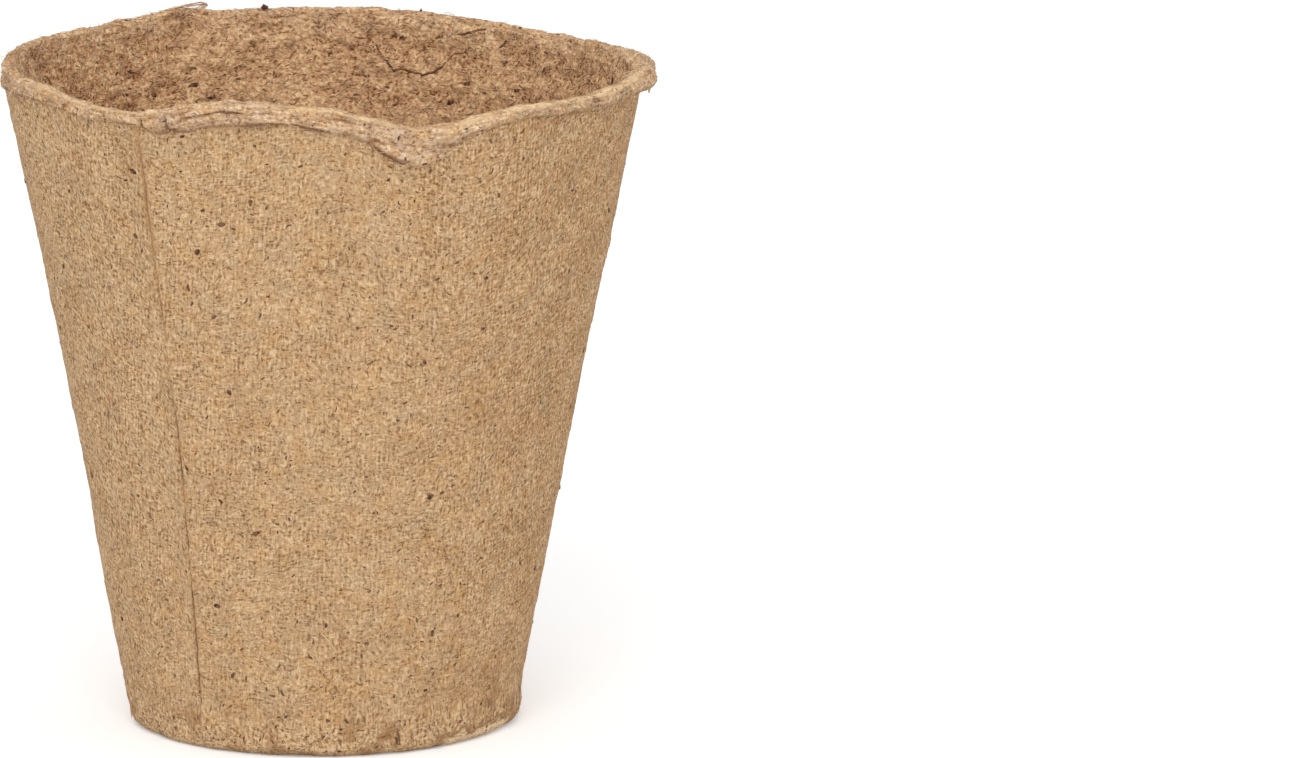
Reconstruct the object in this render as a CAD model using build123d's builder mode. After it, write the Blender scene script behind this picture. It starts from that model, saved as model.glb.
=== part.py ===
"""Round peat plant pot, pressed from fibre pulp, with an uneven rolled lip.

Millimetres, +Z up. The origin is the middle of the underside, on the ground.
Angles run anticlockwise from +X, seen from above, and the front faces -Y.
"""

import math
import os

from build123d import *

# Overall sizes
mouth_diameter = 78.6  # outside of the wall under the lip, on average
base_diameter = 47.4  # outside of the wall, carried on down to the ground
pot_height = 82.0  # ground to the crown of the lip, on average

# Pressed fibre
wall_thickness = 1.5  # measured level
floor_thickness = 1.8
seat_gap = 0.1  # between pieces that sit on each other

# Floor dish
dish_height = 6.0  # top of the dish's upstand, where the side wall starts
foot_radius = 1.8  # outside rounding between floor and upstand
corner_radius = 1.8  # inside rounding between floor and upstand

# Lip
lip_height = 1.4  # crown above the wall's top edge
lip_shoulder = 0.8  # where the crown's rounding starts, above the wall's top edge
lip_overhang = 0.6  # how far the lip stands out past the wall
lip_skirt = 0.8  # how far the lip laps down over the outside of the wall
flap_drop = 3.0  # how much further the folded flap hangs down
flash_width = 1.3  # how much further the torn flash stands out

# How far the pot is from round and level
rim_wave = 2.4
mouth_lobe = 0.8

# Bark flecks and straw fibres, pressed flat on the wall
fleck_length = 1.9
fleck_width = 1.1
fleck_thickness = 0.25
straw_length = 4.2
straw_width = 0.3
straw_thickness = 0.15

# One share for each radial section of the pot, from +X round to the right-hand front
rim_wave_shares = (
    -0.38, -0.42, -0.46, -0.58, -0.33, -0.08, 0.08, 0.17, 0.25, 0.08, 0.00, 0.00,
    0.00, -0.08, -0.25, -0.54, -0.58, 0.40, 0.05, -0.95, -0.40, -0.25, -0.30, -0.35,
)
mouth_lobe_shares = (
    0.20, 0.00, -0.50, -0.80, -0.40, 0.10, 0.30, 0.50, 0.40, -0.10, -0.40, -0.55,
    -0.60, -0.60, -0.80, -0.20, 0.70, 0.20, -0.30, 0.10, 0.50, 0.00, -0.50, -0.10,
)
flap_shares = (
    0.00, 0.00, 0.00, 0.00, 0.00, 0.00, 0.00, 0.00, 0.00, 0.00, 0.00, 0.00,
    0.00, 0.00, 0.00, 0.05, 0.10, 0.00, 0.10, 1.00, 0.35, 0.05, 0.00, 0.00,
)
flash_shares = (
    1.00, 0.40, 0.00, 0.00, 0.00, 0.00, 0.00, 0.00, 0.00, 0.00, 0.00, 0.00,
    0.00, 0.00, 0.00, 0.00, 0.00, 0.00, 0.00, 0.20, 0.10, 0.00, 0.05, 0.40,
)
section_count = len(rim_wave_shares)

# The larger flecks at the front: how far up the wall, how far round it, and size
front_fleck_shares = (
    (0.820, 0.701, 0.75),
    (0.857, 0.596, 0.40),
    (0.812, 0.647, 0.55),
    (0.847, 0.692, 0.50),
    (0.853, 0.718, 0.55),
    (0.924, 0.652, 0.65),
    (0.668, 0.693, 0.55),
    (0.870, 0.851, 0.40),
    (0.644, 0.851, 0.40),
    (0.057, 0.682, 0.50),
    (0.358, 0.686, 0.45),
    (0.370, 0.834, 0.45),
    (0.151, 0.756, 0.40),
    (0.678, 0.794, 0.40),
)

# Counts and spread of the other flecks and the fibres
outer_fleck_count = 32
inner_fleck_count = 20
straw_count = 36
spread_shares = (0.7549, 0.5698)  # steps of an even scatter over a face
size_step_share = 0.618
least_size_share = 0.5
turn_step_degrees = 67

mouth_radius = mouth_diameter / 2
base_radius = base_diameter / 2
seat_level = pot_height - lip_height  # wall's top edge, on average
clear_share = (lip_skirt + flap_drop + straw_length / 2) / (seat_level - dish_height)  # of the wall, bare
hollow_lift = fleck_length**2 / (8 * base_radius)  # a flat chip's ends reach this far into a hollow face


def taper_radius(height):
    """Outside radius of the round taper at a height."""
    return base_radius + (mouth_radius - base_radius) * height / seat_level


def wall_radius(section, height):
    """Outside radius of the wall: round where it meets the dish, lobed at the mouth."""
    rise_share = (height - dish_height) / (seat_level - dish_height)
    return taper_radius(height) + mouth_lobe * mouth_lobe_shares[section] * rise_share


def seat_height(section):
    """Height of the wall's wavy top edge."""
    return seat_level + rim_wave * rim_wave_shares[section]


def radial_plane(section):
    """Upright plane through the pot's axis: local x runs outwards and local y upwards."""
    angle = 2 * math.pi * section / section_count
    outwards = (math.cos(angle), math.sin(angle), 0)
    sideways = (math.sin(angle), -math.cos(angle), 0)
    return Plane(origin=(0, 0, 0), x_dir=outwards, z_dir=sideways)


def scatter(count, first=0):
    """Even, repeatable scatter: rise up the wall, way round it, size share and turn of each piece."""
    for index in range(first, first + count):
        along, around = (index * step % 1 for step in spread_shares)
        rise_share = clear_share + (1 - 2 * clear_share) * along
        size_share = least_size_share + (1 - least_size_share) * (index * size_step_share % 1)
        yield rise_share, around, size_share, index * turn_step_degrees


def wall_place(face, rise_share, around, lift):
    """Plane against a face of the wall, clear of it by the lift, with its x direction level."""
    outwards = face.normal_at(rise_share, around)
    level = Axis.Z.direction.cross(outwards)
    return Plane(origin=face.position_at(rise_share, around), x_dir=level, z_dir=outwards).offset(lift)


# Floor dish: the flat floor with its rounded foot and a short upstand
with BuildPart() as floor_dish:
    upstand_radius = taper_radius(dish_height)
    floor_edge_radius = taper_radius(floor_thickness) - wall_thickness
    with BuildSketch(Plane.XZ):
        with BuildLine():
            Polyline(
                (0, 0),
                (base_radius, 0),
                (upstand_radius, dish_height),
                (upstand_radius - wall_thickness, dish_height),
                (floor_edge_radius, floor_thickness),
                (0, floor_thickness),
                close=True,
            )
        dish_profile = make_face()
        corners = dish_profile.vertices()
        fillet(corners.sort_by_distance((base_radius, 0))[0], foot_radius)
        fillet(corners.sort_by_distance((floor_edge_radius, floor_thickness))[0], corner_radius)
    revolve(axis=Axis.Z)
floor_dish.part.label = "floor_dish"

# Side wall: a tapered shell through radial sections, each as high as the rim is there
wall_sections = []
with BuildPart() as side_wall:
    for section in range(section_count):
        top = seat_height(section)
        foot_outside = wall_radius(section, dish_height)
        top_outside = wall_radius(section, top)
        with BuildSketch(radial_plane(section)) as wall_section:
            with BuildLine():
                Polyline(
                    (foot_outside - wall_thickness, dish_height),
                    (foot_outside, dish_height),
                    (top_outside, top),
                    (top_outside - wall_thickness, top),
                    close=True,
                )
            make_face()
        wall_sections.append(wall_section.sketch)
    loft(sections=[*wall_sections, wall_sections[0]])
side_wall.part.label = "side_wall"

# Rim lip: a hem that sits on the wall's top edge, laps over its outside and has a rounded crown
lip_sections = []
with BuildPart() as rim_lip:
    for section in range(section_count):
        seat = seat_height(section) + seat_gap
        hem = seat - lip_skirt - flap_drop * flap_shares[section]
        overhang = lip_overhang + flash_width * flash_shares[section]
        inside = wall_radius(section, seat) - wall_thickness
        outside = wall_radius(section, seat) + seat_gap
        hem_outside = wall_radius(section, hem) + seat_gap
        with BuildSketch(radial_plane(section)) as lip_section:
            with BuildLine():
                Polyline(
                    (inside, seat + lip_shoulder),
                    (inside, seat),
                    (outside, seat),
                    (hem_outside, hem),
                    (hem_outside + lip_overhang, hem),
                    (outside + overhang, seat + lip_shoulder),
                )
                ThreePointArc(
                    (outside + overhang, seat + lip_shoulder),
                    ((inside + outside + overhang) / 2, seat + lip_height),
                    (inside, seat + lip_shoulder),
                )
            make_face()
        lip_sections.append(lip_section.sketch)
    loft(sections=[*lip_sections, lip_sections[0]])
rim_lip.part.label = "rim_lip"

inner_face, outer_face = side_wall.part.faces().sort_by(SortBy.AREA)[-2:]

# Bark flecks: dark chips on the outside and inside of the wall
front_flecks = [(*shares, index * turn_step_degrees) for index, shares in enumerate(front_fleck_shares)]
outer_places = [(outer_face, seat_gap, place) for place in (*front_flecks, *scatter(outer_fleck_count))]
inner_places = [(inner_face, seat_gap + hollow_lift, place) for place in scatter(inner_fleck_count)]
with BuildPart() as bark_flecks:
    for face, lift, (rise_share, around, size_share, turn) in outer_places + inner_places:
        with BuildSketch(wall_place(face, rise_share, around, lift)):
            Ellipse(fleck_length * size_share / 2, fleck_width * size_share / 2, rotation=turn)
    extrude(amount=fleck_thickness)
bark_flecks.part.label = "bark_flecks"

# Straw fibres: thin pale strands on the outside of the wall, between the flecks
with BuildPart() as straw_fibres:
    for rise_share, around, size_share, turn in scatter(straw_count, first=outer_fleck_count):
        with BuildSketch(wall_place(outer_face, rise_share, around, seat_gap)):
            SlotOverall(straw_length * size_share, straw_width, rotation=turn)
    extrude(amount=straw_thickness)
straw_fibres.part.label = "straw_fibres"

os.makedirs("parts", exist_ok=True)
for piece in (floor_dish, side_wall, rim_lip, bark_flecks, straw_fibres):
    export_step(piece.part, f"parts/{piece.part.label}.step")
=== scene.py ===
"""Looks of the round peat pot: rough pulp wall, turned-over lip, bark flecks, straw and loose fibres.

Points and sizes are in millimetres until a mesh is made. Angles are in degrees round the
pot's axis, anticlockwise from +X, and the front faces -Y at 270 degrees.
"""

import itertools
from collections import namedtuple

import bmesh
import bpy
import numpy as np
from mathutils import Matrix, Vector


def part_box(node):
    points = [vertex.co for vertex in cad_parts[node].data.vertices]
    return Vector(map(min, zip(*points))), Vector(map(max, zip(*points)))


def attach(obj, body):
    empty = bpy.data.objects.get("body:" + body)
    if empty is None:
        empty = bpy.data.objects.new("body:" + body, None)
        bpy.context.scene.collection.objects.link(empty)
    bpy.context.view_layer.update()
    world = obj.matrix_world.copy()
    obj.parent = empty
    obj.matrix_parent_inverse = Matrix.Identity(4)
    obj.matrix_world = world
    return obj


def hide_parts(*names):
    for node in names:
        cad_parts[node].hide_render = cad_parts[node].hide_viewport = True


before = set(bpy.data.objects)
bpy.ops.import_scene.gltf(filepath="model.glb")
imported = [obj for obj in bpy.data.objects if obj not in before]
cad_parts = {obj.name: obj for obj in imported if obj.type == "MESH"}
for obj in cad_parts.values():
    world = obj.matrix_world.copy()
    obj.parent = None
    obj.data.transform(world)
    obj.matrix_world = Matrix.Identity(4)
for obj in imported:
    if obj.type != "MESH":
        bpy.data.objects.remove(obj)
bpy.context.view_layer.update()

MM = 0.001
FULL_TURN = 360.0
FRONT_ANGLE = 270.0

# Sizes of the moulding that the solids give
dish_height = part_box("floor_dish")[1].z / MM
dish_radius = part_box("floor_dish")[1].x / MM
sample_height = 75.0  # where the wall's outline is measured, below the lip
sample_angles = np.arange(0.0, FULL_TURN, 2.5)

wall_inset = 0.22  # the pulp's lumps stand out about this far, up to the solids' outside

# Foot and floor
foot_radius = 1.5
corner_radius = 2.2
floor_level = 1.8
chip_start, chip_end = 304, 348  # angles between which a flake has come off the foot

# Lip
crown_rounding = 0.55  # height of the crown's rounded top
wall_below_crown = 1.3  # from the crown down to the wall's own top edge, inside the lip
lining_depth = 15.0  # how far the lip's finer inside reaches down
low_fine_share = 0.6  # how much of the inside's small lumps shows below that

# Lumps of the pulp: height and width of each size
outside_swells = ((0.30, 24), (0.14, 9))
outside_grain = ((0.09, 3.2), (0.06, 1.4))
foot_crumbs = ((0.24, 2.4), (0.3, 6))
inside_lumps = ((0.32, 9), (0.32, 4.2))
inside_grain = ((0.24, 1.5), (0.16, 0.85))
lip_folds = ((0.26, 0.9), (0.14, 0.42))
lip_lumps = ((0.16, 4.5), (0.11, 1.8))
lip_fluff = ((0.08, 0.8), (0.06, 0.45))

# Crown of the lip round the pot: angle and height above the ground
crown_places = (
    (0, 81.1), (10, 81.2), (30, 80.9), (45, 80.6), (55, 80.9), (65, 81.3), (70, 81.6), (80, 81.9),
    (95, 81.8), (110, 81.8), (114, 81.9), (117.5, 82.8), (121, 82.6), (126, 82.0), (132, 81.7), (145, 81.5),
    (157, 81.7), (165, 81.9), (180, 82.0), (200, 81.7), (212, 81.6), (222, 81.1), (231, 80.8), (238, 80.7),
    (244, 81.4), (250, 82.5), (255, 83.0), (262, 82.7), (270, 82.2), (275, 81.8), (278, 81.2), (281, 80.6),
    (288, 79.6), (295, 79.6), (300, 80.4), (308, 81.0), (320, 80.8), (334, 80.5), (346, 80.8),
)

# Band of the lip: angle, height from hem to crown, overhang at its middle and hem, and painted shade along
# its hem
band_places = (
    (0, 1.5, 1.4, 1.6, 0.5),
    (6, 1.5, 1.7, 1.5, 0.5),
    (11, 1.5, 1.8, 1.3, 0.4),
    (16, 1.6, 1.3, 0.8, 0.4),
    (21, 1.7, 0.7, 0.5, 0.4),
    (30, 1.8, 0.5, 0.4, 0.4),
    (60, 2.0, 0.5, 0.4, 0.6),
    (90, 1.8, 0.45, 0.35, 0.3),
    (120, 2.1, 0.5, 0.4, 0.6),
    (150, 1.9, 0.4, 0.3, 0.4),
    (170, 1.8, -0.3, -0.05, 0.2),
    (180, 2.0, -0.4, 0.0, 0.2),
    (188, 2.3, -0.2, 0.4, 0.4),
    (196, 2.3, 0.1, 0.55, 0.6),
    (205, 1.9, 0.4, 0.45, 0.9),
    (215, 1.7, 0.5, 0.45, 1.0),
    (224, 1.6, 0.5, 0.4, 0.9),
    (228, 1.6, 0.45, 0.3, 0.3),
    (236, 1.6, 0.45, 0.3, 0.2),
    (239, 1.8, 0.5, 0.3, 0.3),
    (242, 2.8, 0.55, 0.25, 0.7),
    (246, 3.0, 0.6, 0.35, 0.9),
    (250, 2.9, 0.65, 0.45, 0.5),
    (256, 3.1, 0.7, 0.55, 0.6),
    (260, 2.7, 0.7, 0.55, 1.0),
    (264, 2.2, 0.65, 0.5, 1.0),
    (268, 2.2, 0.65, 0.5, 1.0),
    (273, 2.5, 0.65, 0.5, 1.0),
    (276, 2.4, 0.6, 0.4, 0.6),
    (279, 2.8, 0.6, 0.4, 0.5),
    (282, 3.6, 0.65, 0.5, 1.0),
    (285, 4.5, 0.7, 0.5, 1.0),
    (288, 4.9, 0.6, 0.35, 0.4),
    (291, 5.0, 0.5, 0.15, 0.1),
    (294, 4.2, 0.45, 0.0, 0.0),
    (298, 3.0, 0.4, -0.05, 0.0),
    (304, 1.6, 0.4, 0.0, 0.1),
    (315, 1.5, 0.45, 0.15, 0.7),
    (330, 2.2, 0.5, 0.15, 0.7),
    (342, 2.2, 0.55, 0.4, 0.5),
    (349, 1.9, 0.9, 0.7, 0.5),
    (354, 1.7, 1.3, 1.5, 0.6),
)

# Seam where the mould's mesh laps: height up the wall and angle
seam_places = ((0, 233.5), (5, 234.2), (20, 236.6), (38, 238.2), (63, 238.0), (82, 237.8))

# Dark strands on the inside, partly roots and partly painted shade along creases and folds: angle and height
# along each
root_and_crease_shade_places = (
    (
        (85, 78.4), (82.5, 78.2), (81, 77.4), (79, 75.6), (77.2, 74.5), (75.5, 74.7),
        (73.5, 74.4), (71, 74.2), (69, 74.5), (67, 75.4), (65, 76.8), (62.5, 77.2), (61, 78.1),
    ),
    ((58, 80.4), (60, 80.0), (62.5, 79.6), (65.5, 79.3)),
    ((54.2, 78.3), (52.7, 79.3)),
    ((159, 77.5), (158, 76.6), (156.5, 75.2)),
)

# Loose strands that stand up from the back of the rim: angle and height over the rim along them
tuft_places = ((120, 0.0), (118, 0.15), (116, 0.5), (113.8, 1.0), (112.8, 0.9), (114, 0.45), (114.8, 0.0))
tuft_strand_sizes = ((0.11, 0.0), (0.08, 0.3), (0.07, 0.5), (0.05, 0.7), (0.04, 0.9))  # thickness and spread
hair_count = 16  # fine hairs at the left of the rim

# Shreds that hang from the ear at the right: angle, drop below the hem and thickness
shred_places = ((353, 0.9, 0.16), (353.6, 0.6, 0.1), (356, 0.35, 0.12), (359, 0.3, 0.1), (351, 0.35, 0.08))

# Rusty strands along the flap's torn edge: angles at which each starts and ends
flap_strand_places = ((280.6, 282.8), (282.2, 284.6), (283.9, 286.0))

# Small dark bits beside those of the solids: angle, height, half length and turn from level
outer_bits = (
    (247, 78.4, 0.6, 15), (310, 78, 0.55, 60), (246, 76, 0.28, 80), (291, 75.6, 0.34, 10),
    (262, 75.3, 0.36, 5), (311, 74.5, 0.36, 55), (246, 74, 0.38, 5), (265, 73.5, 0.24, 40),
    (284, 73.3, 0.45, 45), (320, 73, 0.36, 75), (314, 73, 0.28, 60), (293, 72.5, 0.32, 50),
    (233, 72, 0.5, 3), (240.5, 71.5, 0.3, 0), (298, 71, 0.36, 80), (236, 70.5, 0.3, 30),
    (289, 70.5, 0.32, 110), (256, 70, 0.28, 70), (242.5, 69.5, 0.36, 80), (273, 69.3, 0.5, 85),
    (267, 69, 0.3, 130), (328, 69, 0.45, 30), (244.5, 68, 0.38, 20), (312, 68, 0.28, 80),
    (317, 66.5, 0.34, 80), (243, 66, 0.26, 80), (302, 66, 0.32, 45), (300, 65.5, 0.32, 60),
    (255.5, 64.5, 0.32, 20), (261.5, 63.7, 0.38, 60), (235, 63.5, 0.4, 85), (321, 60.5, 0.34, 85),
    (276, 60.3, 0.45, 75), (340, 57.5, 0.34, 20), (283, 56.5, 0.28, 60), (290, 56, 0.5, 85),
    (310, 56, 0.3, 50), (283, 54.5, 0.3, 70), (292, 54.5, 0.32, 60), (322, 53, 0.26, 60),
    (282, 50.5, 0.4, 30), (296, 50.5, 0.34, 30), (327, 49.5, 0.36, 45), (274, 44, 0.3, 30),
    (291, 43.5, 0.4, 85), (280, 41.5, 0.3, 60), (257.5, 39.7, 0.28, 60), (335, 39, 0.45, 80),
    (264.5, 37.6, 0.3, 85), (274, 37.5, 0.3, 0), (292, 37.5, 0.26, 80), (262, 36.4, 0.25, 60),
    (245.5, 36, 0.34, 40), (318, 36, 0.4, 80), (327, 34.5, 0.34, 60), (279, 34.2, 0.34, 60),
    (283.5, 31.4, 0.34, 45), (253, 31, 0.28, 20), (261, 29, 0.38, 80), (222.5, 27.7, 0.32, 130),
    (272.5, 25.4, 0.28, 0), (219, 22.5, 0.34, 110), (246, 22, 0.3, 90), (247, 21.2, 0.3, 150),
    (267, 20.2, 0.25, 45), (242.5, 20, 0.28, 75), (239, 16.7, 0.28, 0), (302, 15.9, 0.3, 75),
    (288.5, 15.4, 0.35, 60), (245.5, 15.4, 0.34, 10), (269, 15, 0.4, 80), (283, 14.7, 0.4, 15),
    (249.5, 13.7, 0.4, 40), (274.5, 13, 0.26, 20), (288.5, 11.8, 0.3, 0), (210, 10.8, 0.4, 0),
    (310, 10.8, 0.4, 55), (303, 10, 0.4, 70), (250, 10, 0.42, 80), (271, 9.2, 0.3, 20),
    (301, 8, 0.55, 0), (257.5, 7.9, 0.5, 0), (209, 7.6, 0.34, 30), (291.5, 7.6, 0.36, 40),
    (234, 7.4, 0.4, 80), (268.5, 5.4, 0.3, 60), (261, 5.3, 0.45, 30), (322.5, 4.8, 0.32, 45),
    (293.5, 4.4, 0.3, 45), (258, 4, 0.45, 50), (276.5, 3.7, 0.4, 20), (222.5, 3.4, 0.42, 90),
    (244, 3.3, 0.3, 60), (314, 3.2, 0.5, 30), (271, 2.9, 0.34, 80), (266.5, 2.8, 0.34, 40),
    (248, 2.2, 0.45, 75), (253, 2.2, 0.34, 70), (320.5, 2, 0.4, 130), (327.5, 1.6, 0.5, 75),
    (261.5, 1.3, 0.36, 60), (276, 0.9, 0.4, 10),
)
inner_bits = (
    (132, 75.6, 1.0, 5), (117.5, 73.1, 1.4, 0), (127, 72.4, 1.1, 15), (134, 73, 0.8, 50),
    (114, 71.5, 0.9, 10), (113, 78.5, 0.6, 70), (108, 73.5, 0.6, 0), (77, 78.8, 1.0, 10),
    (68, 78.8, 1.0, 5), (61.2, 73.4, 1.0, 20), (65, 71, 1.1, 15), (48, 73.5, 0.8, 5),
    (52.3, 76.6, 0.8, 40), (41.5, 76.4, 0.8, 60), (26, 76.5, 0.9, 30), (15, 77.6, 0.8, 65),
)
crumb_count = 90  # finer dark bits strewn over the inside, near the rim
lip_bits = (
    (285, 78.4, 0.5, 80), (290, 75.2, 0.6, 5), (293, 75.4, 0.35, 60), (297, 78, 0.42, 85),
    (300, 78.2, 0.45, 10), (224, 80, 0.3, 90), (231, 79.6, 0.35, 60),
)

# Dark bits caught in the back of the rim: angle, height over the crown and half sizes
rim_bit_places = (
    (102, 0.25, (0.55, 0.5, 0.4)),
    (72.7, 0.05, (0.2, 0.4, 0.15)),
    (130.5, 0.0, (0.5, 0.16, 0.2)),
)


def polar(angle, radius, height):
    """Points at angles in degrees, from their distance to the axis and their height."""
    turn = np.radians(angle)
    return np.stack(np.broadcast_arrays(radius * np.cos(turn), radius * np.sin(turn), height), axis=-1)


def angle_of(points):
    """Angles of points round the pot's axis, in degrees."""
    return np.degrees(np.arctan2(points[..., 1], points[..., 0])) % FULL_TURN


def ease(value, low, high):
    """Smooth step from 0 at low to 1 at high."""
    share = np.clip((value - low) / (high - low), 0, 1)
    return share * share * (3 - 2 * share)


def between(value, rise, full, fall, end):
    """Share that eases up from rise to full and down again from fall to end."""
    return ease(value, rise, full) * (1 - ease(value, fall, end))


def near_value(value, middle, width):
    """Bell-shaped share round one value."""
    return np.exp(-(((value - middle) / width) ** 2))


def near_angle(angle, middle, width):
    """Bell-shaped share round one angle."""
    return near_value((angle - middle + FULL_TURN / 2) % FULL_TURN, FULL_TURN / 2, width)


def round_table(places, column, blur):
    """Function of the angle through one column of a table of places, rounded off over some degrees."""
    fine = np.arange(0, FULL_TURN, 0.25)
    angles, values = (np.array([place[n] for place in places], float) for n in (0, column))
    sampled = np.interp(fine, angles, values, period=FULL_TURN)
    away = np.minimum(fine, FULL_TURN - fine)
    weight = np.exp(-0.5 * (away / blur) ** 2)
    rounded = np.fft.irfft(np.fft.rfft(sampled) * np.fft.rfft(weight / weight.sum()), len(fine))
    return lambda angle: np.interp(angle, fine, rounded, period=FULL_TURN)


rim_height = round_table(crown_places, 1, 1.4)
band_height = round_table(band_places, 1, 0.7)
band_middle = round_table(band_places, 2, 1.0)
band_hem = round_table(band_places, 3, 1.0)
hem_painted_shade = round_table(band_places, 4, 1.0)


def cad_hit(node, start, direction):
    """Where a ray meets a CAD solid, in millimetres."""
    found, place, _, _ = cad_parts[node].ray_cast(Vector(start) * MM, Vector(direction))
    if not found:
        raise ValueError(f"no surface of {node} from {tuple(start)}")
    return np.array(place) / MM


def measure_wall():
    """Outer radius at the sample height and mean thickness of the CAD wall."""
    outer, thickness = [], []
    for angle in sample_angles:
        outward = polar(angle, 1.0, 0.0)
        inner_place = cad_hit("side_wall", (0, 0, sample_height), outward)
        outer_place = cad_hit("side_wall", outward * 2 * sample_height + (0, 0, sample_height), -outward)
        outer.append(np.hypot(outer_place[0], outer_place[1]))
        thickness.append(np.linalg.norm(outer_place - inner_place))
    return np.array(outer), float(np.mean(thickness))


sampled_radius, wall_thickness = measure_wall()


def wall_radius(angle, height):
    """Outside radius of the smooth wall."""
    upper = np.interp(angle, sample_angles, sampled_radius, period=FULL_TURN)
    rise_share = (height - dish_height) / (sample_height - dish_height)
    return dish_radius + (upper - dish_radius) * rise_share - wall_inset


def noise(points, cell, seed):
    """Smooth repeatable noise between about -1 and 1, with features about one cell across."""
    scaled = np.asarray(points, float) / cell
    base = np.floor(scaled).astype(np.int64)
    part = scaled - base
    fade = part**3 * (part * (part * 6 - 15) + 10)
    total = np.zeros(scaled.shape[:-1])
    for corner in itertools.product((0, 1), repeat=3):
        key = base + corner
        mixed = key[..., 0] * 73856093 ^ key[..., 1] * 19349663 ^ key[..., 2] * 83492791 ^ seed * 2654435761
        mixed = (mixed ^ mixed >> 13) * 1274126177 & 0x7FFFFFFF
        mixed = (mixed ^ mixed >> 15) * 1103515245 & 0x7FFFFFFF
        slopes = np.stack([mixed >> shift & 1023 for shift in (0, 10, 20)], axis=-1) / 511.5 - 1
        weight = np.prod(np.where(corner, fade, 1 - fade), axis=-1)
        total += weight * np.sum(slopes * (part - corner), axis=-1)
    return 1.6 * total


def layered_noise(points, cell, layers, seed):
    """Noise with finer and weaker layers added to it."""
    return sum(noise(points, cell / 2**n, seed + n) / 2**n for n in range(layers))


def waves(points, seed, sizes):
    """Noises of several sizes added up, each given by its height and its cell."""
    return sum(height * noise(points, cell, seed + n) for n, (height, cell) in enumerate(sizes))


def seam_distance(angle, height):
    """Distance round the wall from the mould seam, in millimetres, positive towards the front."""
    heights, angles = zip(*seam_places)
    turn = (angle - np.interp(height, heights, angles) + FULL_TURN / 2) % FULL_TURN - FULL_TURN / 2
    return np.radians(turn) * wall_radius(angle, height)


def foot_chip(angle, height):
    """Share of the place where a flake has come off the foot."""
    ragged = height + 0.9 * noise(polar(angle, dish_radius, height), 2.0, 18)
    round_way = between(angle, chip_start, chip_start + 8, chip_end - 6, chip_end)
    return round_way * (1 - ease(ragged, 1.5, 2.3))


def outer_relief(angle, height):
    """How far the outside of the wall stands proud of the smooth wall. The flanks are a little hollow."""
    place = polar(angle, wall_radius(angle, height), height)
    flank = -0.4 * np.cos(np.radians(angle)) ** 2 * near_value(height, 46, 20)
    swell = waves(place, 11, outside_swells)
    grain = waves(place, 13, outside_grain)
    from_seam = seam_distance(angle, height)
    open_share = np.clip(0.4 + 1.3 * noise(place, 8, 15) + 0.8 * (1 - ease(height, 12, 22)), 0, 1)
    crease = -0.24 * open_share * ease(height, 4, 9) * near_value(from_seam, 0.0, 0.22)
    facet = -0.28 * near_value(from_seam, -3.0, 3.2) * (from_seam < 0)
    lap = 0.12 * near_value(from_seam, 0.0, 3.0) * (from_seam > 0)
    chipped = waves(place, 16, foot_crumbs) * (1 - ease(height, 1.0, 5.0))
    right_foot = 0.5 * near_value(height, 1.2, 1.8) - 0.22 * near_value(height, 5.0, 2.4)
    right_foot = near_angle(angle, 352, 26) * right_foot
    foot = 0.2 * near_value(height, 3.2, 2.2) + right_foot - 0.25 * foot_chip(angle, height)
    hem = rim_height(angle) - band_height(angle)
    below_lip = 1 - 0.85 * ease(height, hem - 3.0, hem)
    return (flank + swell + grain + crease + facet + lap + chipped + foot) * below_lip


def fine_share(angle, height):
    """How much of the small lumps shows at a height on the inside: all of them near the rim."""
    start = rim_height(angle) - lining_depth
    return low_fine_share + (1 - low_fine_share) * ease(height, start + 2, start + 5)


def inner_relief(angle, height, fine):
    """How far the lumpy inside stands proud into the pot. Fine adds the small lumps."""
    place = polar(angle, wall_radius(angle, height), 1.6 * height)
    lumps = waves(place, 21, inside_lumps)
    ridges = 0.40 * (0.35 - np.abs(noise(place, 2.8, 23)))
    small = waves(place, 24, inside_grain)
    return np.maximum(lumps + ridges + fine * small, -0.42)


def ring_faces(rows, columns, looped):
    """Quads of a ring grid whose rows run down the outside. Looped joins the last row to the first."""
    row = np.arange(rows if looped else rows - 1)[:, None]
    column = np.arange(columns)[None, :]
    after = (row + 1) % rows
    beside = (column + 1) % columns
    here, below = row * columns, after * columns
    corners = (here + column, below + column, below + beside, here + beside)
    return np.stack(np.broadcast_arrays(*corners), axis=-1).reshape(-1, 4)


def ring_maps(flat, looped):
    """Flat places of the corners of a ring grid's quads, where the grid's last column repeats its first."""
    after = np.concatenate([flat[1:], flat[:1]]) if looped else flat[1:]
    before = flat if looped else flat[:-1]
    corners = (before[:, :-1], after[:, :-1], after[:, 1:], before[:, 1:])
    return np.stack(corners, axis=2).reshape(-1, 2)


def grid_normals(grid, looped):
    """Outward normals of a ring grid whose rows run down the outside."""
    along = np.roll(grid, -1, axis=1) - np.roll(grid, 1, axis=1)
    down = np.roll(grid, -1, axis=0) - np.roll(grid, 1, axis=0) if looped else np.gradient(grid, axis=0)
    normal = np.cross(down, along)
    return normal / np.maximum(np.linalg.norm(normal, axis=-1, keepdims=True), 1e-9)


def spaced_angles(count, front_share, seam_share):
    """Angles round the pot, closer together at the front and at the seam. The last repeats the first."""
    fine = np.arange(0, FULL_TURN + 0.05, 0.05)
    crowd = 1 + front_share * (ease(fine, 180, 195) - ease(fine, 345, 360))
    crowd = crowd + seam_share * near_value(fine, 236.5, 3.0)
    along = np.concatenate([[0], np.cumsum((crowd[1:] + crowd[:-1]) / 2)])
    return np.interp(np.linspace(0, along[-1], count + 1), along, fine)


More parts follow.
